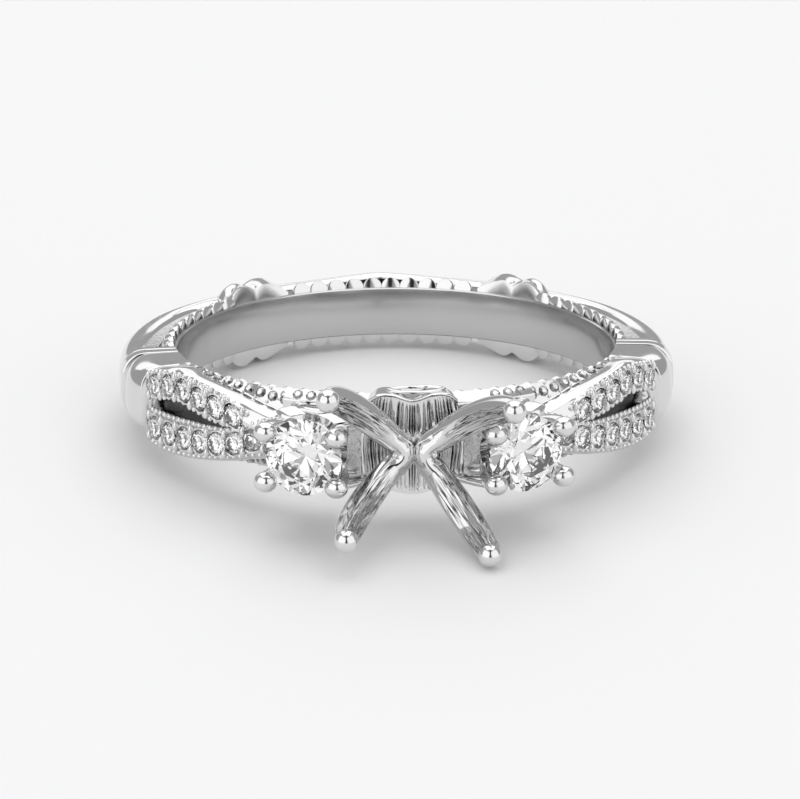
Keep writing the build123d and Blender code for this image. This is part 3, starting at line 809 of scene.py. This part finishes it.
# The wall: a closed loop at each place across, out along the fluted face and back behind it. The
# flutes are the size of a sine raised to a power
def fluteWall():
    u = np.linspace(-1, 1, gallery["steps"])
    top = gallery["top"] * along(wallRows, "top", u)
    low = gallery["bottom"] * along(wallRows, "low", u)
    v = np.array([0, 0.03, 0.06, 0.1, 0.2, 0.35, 0.5, 0.65, 0.8, 0.88, 0.93, 0.965, 1.0])
    shift = flute["shift"]
    uneven = (u + shift * np.sin(flute["shiftWave"] * u + flute["shiftStart"])
              + flute["fineShift"] * shift * np.sin(flute["fineWave"] * u))
    wave = np.abs(np.sin(np.pi * flute["count"] * uneven / 2))[:, None] ** flute["sharp"]
    vary = flute["moreDepth"] * np.sin(flute["depthWave"] * u + flute["depthStart"])
    strength = (flute["leastDepth"] + vary)[:, None] * flute["depth"]
    runOut = ease(v, flute["lowFrom"], flute["lowTo"])
    runOut = runOut * (1 - ease(v, flute["highFrom"], flute["highTo"]))
    r = gallery["wallR"] - strength * runOut[None] * (1 - wave * flute["ridge"])
    z = low[:, None] + (top - low)[:, None] * v
    wide = gallery["footWide"] + gallery["bellyWide"] * ease(v, 0, gallery["bellyAt"])
    wide = wide - gallery["topLost"] * ease(v, gallery["topLostFrom"], 1.0)
    angle = np.degrees(u[:, None] * (gallery["wallHalf"] * wide) / gallery["wallR"])
    back = polar(angle[:, ::-1], np.full_like(r, gallery["backR"]), z[:, ::-1])
    return closeSkin(np.concatenate([polar(angle, r, z), back], 1))


# A rim that follows the wall's bowed top: a small rounded bar carried along it
def wallRim():
    u, p = np.linspace(-1, 1, gallery["rimSteps"]), wholeTurn(gallery["rimSides"])
    top = gallery["top"] * along(wallRows, "top", u)
    angle = np.degrees(u * gallery["wallHalf"] * gallery["rimHalf"] / gallery["wallR"])
    r = gallery["wallR"] - gallery["rimOut"] / 2 + gallery["rimOut"] * np.cos(p)
    z = top[:, None] - gallery["rim"] + gallery["rim"] * np.sin(p)
    return closeSkin(polar(angle[:, None], r[None], z))


# The base: behind the whole head, sloped above and below as the shoulders' side faces are
def galleryBase():
    angle = np.linspace(-gallery["baseFrom"], gallery["baseFrom"], gallery["baseSteps"])
    corners = bothHalves([(shoulder["inR"], -lobeTop(angle), shoulder["edgeRound"]),
                          (shoulder["crestR"], -gallery["edge"], shoulder["edgeRound"])])
    return ringSkin(angle, corners, steps=4)


# An eyelet: a lens outline, sharp at both ends, with a rounded bar carried round it
eyelet = {"angle": 20.3, "middleR": 9.85, "z": 1.27, "length": 1.25, "depth": 0.62, "bar": 0.15,
          "thick": 0.14}
topEyelet = {"angle": 1.0, "middleR": 9.7, "z": 2.09, "length": 1.15, "depth": 0.5, "bar": 0.13,
             "thick": 0.07}
lens = {"sharp": 1.3, "steps": 96, "barSides": 10}


def eyeletSkin(size, hand, face):
    t, p = wholeTurn(lens["steps"])[:, None], wholeTurn(lens["barSides"])[None]
    run = size["length"] * np.cos(t)
    out = size["depth"] * np.sign(np.sin(t)) * np.abs(np.sin(t)) ** lens["sharp"]
    inward = 1 - size["bar"] * (1 - np.cos(p)) / np.hypot(run, out)
    angle = hand * size["angle"] + np.degrees(run * inward / size["middleR"])
    z = face * size["z"] + size["thick"] * np.sin(p)
    return closeSkin(polar(angle, size["middleR"] + out * inward, z), True)


def makeGallery():
    skins = [galleryBase(), fluteWall(), wallRim(), eyeletSkin(topEyelet, 1, 1)]
    skins += [eyeletSkin(eyelet, hand, face) for hand in (-1, 1) for face in (-1, 1)]
    addPiece("headGallery", skins, gold, sharp=38)


makeGallery()

# Side heads: a scalloped cup, four thick prongs that end in balls, and two petals over each stone
head = {"angle": 20.3, "r": 12.1, "ballR": 0.40, "ballStretch": (1.14, 0.99, 1.0), "across": 1.4,
        "up": 0.98, "out": 0.42, "ballRings": 17, "ballSides": 28, "prongFoot": 0.28,
        "prongTop": 0.35, "prongFull": 0.9, "prongRootR": 0.8, "prongBow": 1.06,
        "prongBowZ": -0.6, "prongSteps": 22, "prongSides": 20, "footR": 1.1, "rimR": 1.52,
        "cupDeep": 1.85, "cupRim": -0.75, "cupWall": 0.3, "scallop": 0.5, "sunk": 0.1,
        "cupSides": 72}
petals = table("start end inR outR inZ outZ thick",
    (22.6, 11.6, 10.05, 10.95, 1.26, 0.82, 0.20),
    (29.6, 22.6, 10.05, 10.75, 1.32, 0.94, 0.17))
petalForm = {"full": 0.75, "steps": 60, "sides": 24}


# The cup: rings from the foot to a rim that dips four times, down inside the wall and to a floor
def headCup():
    p = wholeTurn(head["cupSides"])
    rim = head["cupRim"] - head["scallop"] * np.cos(2 * p) ** 2
    share = (rim + head["cupDeep"]) / (head["cupRim"] + head["cupDeep"])
    rimR = head["footR"] + (head["rimR"] - head["footR"]) * share
    foot, wall, deep = head["footR"], head["cupWall"], -head["cupDeep"]
    floor = -(head["r"] - shoulder["crestR"] + head["sunk"])
    rings = [(0, floor), (foot, floor), (foot, deep), (rimR, rim), (rimR - wall, rim),
             (foot - wall, deep), (0, deep)]
    return turned(p, rings)


# One head: the cup, and four round bars that follow parabolas from the foot, bow out past the
# stone's edge and end in a ball each
def sideHead(hand):
    angle, spread = hand * head["angle"], math.hypot(head["across"], head["up"])
    rise = ease(np.linspace(0, 1, head["prongSteps"]), 0, head["prongFull"])
    radius = head["prongFoot"] + (head["prongTop"] - head["prongFoot"]) * rise
    skins = [(onRing(headCup(), angle, head["r"]), False)]
    for across in (1, -1):
        for up in (1, -1):
            x, y = across * head["across"], up * head["up"]
            rootR, bow = head["prongRootR"], head["prongBow"]
            path = curve([x * rootR / spread, y * rootR / spread, -head["cupDeep"]],
                         [x * bow, y * bow, head["prongBowZ"]], [x, y, head["out"]],
                         head["prongSteps"])
            prong = barAlong(path, radius, head["prongSides"], upHint=(across, -up, 0.1))
            tip = ball((x, y, head["out"]), head["ballR"], head["ballStretch"],
                       head["ballRings"], head["ballSides"])[0]
            skins.append(closeSkin(onRing(prong, angle, head["r"])))
            skins.append((onRing(tip, angle, head["r"]), False))
    return skins


# A petal: a leaf between two angles, widest in the middle, that slopes down outwards and is domed
def petalSkin(petal, hand, face):
    t, p = np.linspace(0, 1, petalForm["steps"]), wholeTurn(petalForm["sides"])[None]
    angle = hand * (petal["start"] + (petal["end"] - petal["start"]) * t)[:, None]
    width = (np.sin(np.pi * t) ** petalForm["full"])[:, None]
    across, lift = 0.5 * width * np.cos(p), petal["thick"] * np.sqrt(width) * np.sin(p)
    slopeR, slopeZ = petal["outR"] - petal["inR"], petal["outZ"] - petal["inZ"]
    length = math.hypot(slopeR, slopeZ)
    r = (petal["inR"] + petal["outR"]) / 2 + slopeR * across - lift * slopeZ / length
    z = (petal["inZ"] + petal["outZ"]) / 2 + slopeZ * across + lift * slopeR / length
    return closeSkin(polar(angle, r, face * z))


def makeSideHeads():
    skins = []
    for hand in (-1, 1):
        skins += sideHead(hand)
        skins += [petalSkin(petal, hand, face) for petal in petals for face in (1, -1)]
    addPiece("sideStoneHeads", skins, gold, sharp=40)


makeSideHeads()

# Side panels: short walls left as cast, between each side head and the fluted wall
panel = {"from": 11.0, "to": 18.6, "innerR": 9.3, "outerR": 10.22, "flare": 0.35, "top": 1.02,
         "bottom": -1.42, "innerRound": 0.03, "outerRound": 0.12, "steps": 30}


# A four cornered section whose outside flares with the square of the way to the side head
def makePanels():
    turn = np.linspace(panel["from"], panel["to"], panel["steps"])
    share = (turn - panel["from"]) / (panel["to"] - panel["from"])
    outer = panel["outerR"] + panel["flare"] * share**2
    corners = [(panel["innerR"], panel["bottom"], panel["innerRound"]),
               (outer, panel["bottom"], panel["outerRound"]),
               (outer, panel["top"], panel["outerRound"]),
               (panel["innerR"], panel["top"], panel["innerRound"])]
    addPiece("galleryPanels", [ringSkin(turn, corners, 5, hand) for hand in (-1, 1)], cast)


makePanels()

# Low rails: a bright bar from the foot of each side head to the bottom of the fluted wall
rail = {"from": 5.0, "to": 15.5, "r": 10.35, "outward": 0.1, "startZ": -0.85, "endZ": -1.62,
        "bend": 0.7, "barR": 0.13, "barSides": 14, "steps": 30}


# A round bar whose height runs with a power of the way along it
def makeRails():
    t = np.linspace(0, 1, rail["steps"])
    turn = rail["from"] + (rail["to"] - rail["from"]) * t
    r, z = rail["r"] + rail["outward"] * t, rail["endZ"] - rail["startZ"]
    z = rail["startZ"] + z * t ** rail["bend"]
    skins = [closeSkin(barAlong(polar(hand * turn, r, z), rail["barR"], rail["barSides"],
                                upHint=(0, 1, 0))) for hand in (-1, 1)]
    addPiece("galleryRails", skins, gold, sharp=50)


makeRails()

# Centre head: two bent ribbons of metal side by side on a peg, each a claw up and a claw down. The
# rows give each claw's tip, as shares of side, up and reach
claw = {"crossR": 11.1, "side": 3.2, "up": 2.9, "reach": 3.2, "ballR": 0.455, "bendSide": 0.62,
        "bendAhead": 0.30, "apart": 0.27, "steps": 70, "cornerFrom": 11, "cornerSteps": 30,
        "nubR": 0.13, "nubSide": 0.76, "nubAhead": 0.26, "pegR": 0.56, "pegSides": 40,
        "faceMargin": 0.06, "backWide": 0.70, "backDeep": 0.86, "sideDeep": 0.50,
        "lipWide": 1.02, "lipDeep": 0.12, "lipRound": 0.8, "backRound": 0.4, "ballRings": 21,
        "ballSides": 36}
pegRings = table("behindCross share",
    (1.9, 1.0),
    (1.1, 1.0),
    (0.55, 1.0),
    (0.42, 0.9))
clawRows = table("side up reach",
    (-1.07, 1.01, 0.86),
    (-0.88, -0.76, 1.215),
    (1.11, 0.85, 0.95),
    (0.82, -1.045, 1.06))
# Section of a claw by its share of the way out: half width, the ridge and the edges of its inner
# face, how deep its back is, and how round its face edges are
clawSections = table("share half edge ridge low back soft",
    (0.00, 0.44, 0.28, 0.36, 0.18, 0.40, 0.40),
    (0.15, 0.50, 0.33, 0.36, 0.19, 0.50, 0.30),
    (0.35, 0.56, 0.41, 0.33, 0.25, 0.72, 0.04),
    (0.65, 0.57, 0.41, 0.32, 0.26, 0.80, 0.03),
    (0.88, 0.50, 0.37, 0.30, 0.25, 0.62, 0.04),
    (1.00, 0.44, 0.34, 0.26, 0.20, 0.42, 0.10))


# A claw's middle line: from the cross it runs out sideways, then bends forwards to its ball
def clawPath(row):
    middle = np.array([0, -claw["crossR"], 0])
    root = middle + np.array([math.copysign(claw["apart"], row["side"]), 0, 0])
    aside = np.array([claw["side"] * row["side"], 0, claw["up"] * row["up"]])
    ahead = np.array([0, -claw["reach"] * row["reach"], 0])
    bend = middle + aside * claw["bendSide"] + ahead * claw["bendAhead"]
    tip = middle + aside + ahead
    return curve(root, 2 * bend - (root + tip) / 2, tip, claw["steps"])


# Two claws as one ribbon: down the upper one, round a soft corner at the cross and out along the
# lower one, from a half round section at the cross to a flat face with crisp edges
def clawRibbon(upperRow, lowerRow):
    upper, lower, cutAt = clawPath(upperRow)[::-1], clawPath(lowerRow), claw["cornerFrom"]
    corner = curve(upper[-cutAt], [0, -claw["crossR"], 0], lower[cutAt], claw["cornerSteps"])
    path = np.concatenate([upper[:-cutAt], corner, lower[cutAt + 1:]])
    tangent = unit(np.gradient(path, axis=0))
    side = unit(np.stack([-tangent[:, 2], 0 * tangent[:, 0], tangent[:, 0]], -1))
    face = np.cross(tangent, side)
    run = np.concatenate([[0], np.cumsum(np.linalg.norm(np.diff(path, axis=0), axis=1))])
    middle = run[len(upper) - cutAt + claw["cornerSteps"] // 2]
    share = np.abs(run - middle) / np.where(run < middle, middle, run[-1] - middle)
    half, edge, ridge, low, back, soft = (along(clawSections, key, share) for key in (
        "half", "edge", "ridge", "low", "back", "soft"))
    full = claw["backRound"]
    right = [(claw["backWide"] * half, -claw["backDeep"] * back, full),
             (half, -claw["sideDeep"] * back, full),
             (claw["lipWide"] * half, -claw["lipDeep"], full * claw["lipRound"]),
             (edge, low, soft)]
    left = [(-x, y, rounding) for x, y, rounding in right[::-1]]
    section = makeSections(share, [(0, -back, full), *right, (0, ridge, full), *left], 7)
    across, out = section[..., :1], section[..., 1:]
    onFace = out > low[:, None, None] - claw["faceMargin"]
    places = np.concatenate([(run - middle)[:, None, None] + 0 * across,
                             np.where(onFace, across, fileLook["offFaceMm"])], -1)
    places = np.concatenate([places[:1], places, places[-1:]])
    return closeSkin(path[:, None] + side[:, None] * across + face[:, None] * out), places


# Two ribbons, then a ball on each tip, two nubs at the cross, and a peg turned about the line that
# runs from the cross to the hole
def makeClaws():
    ribbons, places = zip(clawRibbon(*clawRows[:2]), clawRibbon(*clawRows[2:]))
    addPiece("centreClaws", list(ribbons), filed, sharp=32, marks=("alongClaw", places))
    skins = [ball(clawPath(row)[-1], claw["ballR"], rings=claw["ballRings"],
                  sides=claw["ballSides"]) for row in clawRows]
    skins += [ball((hand * claw["nubSide"], -claw["crossR"] - claw["nubAhead"], 0.0), claw["nubR"])
              for hand in (-1, 1)]
    p = wholeTurn(claw["pegSides"])
    y = np.array([row["behindCross"] - claw["crossR"] for row in pegRings])
    r = claw["pegR"] * np.array([row["share"] for row in pegRings])
    skins.append(closeSkin(np.stack([r[:, None] * np.cos(p), y[:, None] * np.ones_like(p),
                                     r[:, None] * np.sin(p)], -1)))
    addPiece("clawTipsAndPeg", skins, gold, sharp=40)


makeClaws()

# The side stones and the side faces' small stones keep their cut shapes from the frame
for name, node in frame["nodes"].items():
    if name.startswith(("side_stone", "face_stones")):
        node.data.materials.clear()
        node.data.materials.append(diamond)

# Pale table, camera and soft studio light, with distances in metres
studio = {"floorSize": 1.2, "worldTint": "#ACACAC", "distance": 0.30, "elevation": 16.3,
          "azimuth": 3.7, "pixelsPerMm": 25.5, "frameWidth": 800, "frameHeight": 799,
          "holeX": 395.5, "holeY": 371.0, "sensor": 36.0, "nearest": 0.01, "furthest": 10.0}
tableLook = {"tint": "#EFEFF0", "roughness": 0.6}
cardLook = {"tint": "#0C0C0C", "roughness": 0.9}
darkCard = {"azimuth": -3, "elevation": 38, "distance": 0.42, "wide": 0.09, "high": 0.70}
softboxes = table("name azimuth elevation distance wide high brightness",
    ("softboxLeft", -52, 24, 0.5, 0.74, 0.62, 0.92),
    ("softboxRight", 50, 26, 0.5, 0.74, 0.62, 0.80),
    ("overhead", 178, 70, 0.5, 0.62, 0.66, 1.2),
    ("backLight", 181, 26, 0.6, 0.80, 0.18, 0.9))


# A flat sheet of four corners at one height
def makeSheet(name, wide, high, z, materialName, look):
    mesh = bpy.data.meshes.new(name)
    w, h = wide / 2, high / 2
    mesh.from_pydata([(-w, -h, z), (w, -h, z), (w, h, z), (-w, h, z)], [], [(0, 1, 2, 3)])
    mesh.materials.append(newMaterial(materialName, look, metallic=0.0)[0])
    return addObject(name, mesh)


# Puts a light or a card at its place round the ring and turns its face to the ring
def aimAtRing(thing, row):
    a, e = math.radians(row["azimuth"]), math.radians(row["elevation"])
    way = (math.sin(a) * math.cos(e), -math.cos(a) * math.cos(e), math.sin(e))
    thing.location = [part * row["distance"] for part in way]
    thing.rotation_mode = "QUATERNION"
    thing.rotation_quaternion = thing.location.normalized().to_track_quat("Z", "Y")


# The camera stands at its own axes in the ring's frame, laid down with the ring; its lens gives
# the pixels a millimetre, and its shift puts the finger hole's middle where it belongs
def makeCamera():
    e, a = math.radians(studio["elevation"]), math.radians(studio["azimuth"])
    back = np.array([-math.sin(a) * math.cos(e), -math.cos(a) * math.cos(e), math.sin(e)])
    right = np.array([math.cos(a), -math.sin(a), 0])
    axes = [lay(v) * 1000 for v in (right, np.cross(back, right), back)]
    place = axes[2] * studio["distance"]
    rows = [[axes[0][i], axes[1][i], axes[2][i], place[i]] for i in range(3)] + [[0, 0, 0, 1]]
    data = bpy.data.cameras.new("camera")
    camera = addObject("camera", data)
    camera.matrix_world = Matrix(rows)
    width, height = studio["frameWidth"], studio["frameHeight"]
    data.sensor_width = studio["sensor"]
    data.lens = studio["pixelsPerMm"] * studio["distance"] * 1000 / width * studio["sensor"]
    data.shift_x = (width / 2 - studio["holeX"]) / width
    data.shift_y = (studio["holeY"] - height / 2) / width
    data.clip_start, data.clip_end = studio["nearest"], studio["furthest"]
    bpy.context.scene.camera = camera


# A softbox aimed at the ring: its power is its brightness times pi times its area
def makeLight(row):
    data = bpy.data.lights.new(row["name"], "AREA")
    data.shape, data.size, data.size_y = "RECTANGLE", row["wide"], row["high"]
    data.energy = row["brightness"] * math.pi * row["wide"] * row["high"]
    aimAtRing(addObject(row["name"], data), row)


makeCamera()
floor = makeSheet("tableTop", studio["floorSize"], studio["floorSize"], cadBox[0].z,
                  "paleTable", tableLook)
# A dark card above the camera, which polished metal shows as a thin dark line
card = makeSheet("darkCard", darkCard["wide"], darkCard["high"], 0, "blackCard", cardLook)
aimAtRing(card, darkCard)
card.visible_camera = False
world = bpy.data.worlds.new("studio")
bpy.context.scene.world = world
world.use_nodes = True
background = world.node_tree.nodes["Background"]
background.inputs["Color"].default_value = colour(studio["worldTint"])
background.inputs["Strength"].default_value = 1.0
for row in softboxes:
    makeLight(row)
bpy.context.scene.view_settings.view_transform = "Standard"
print("made the studio")
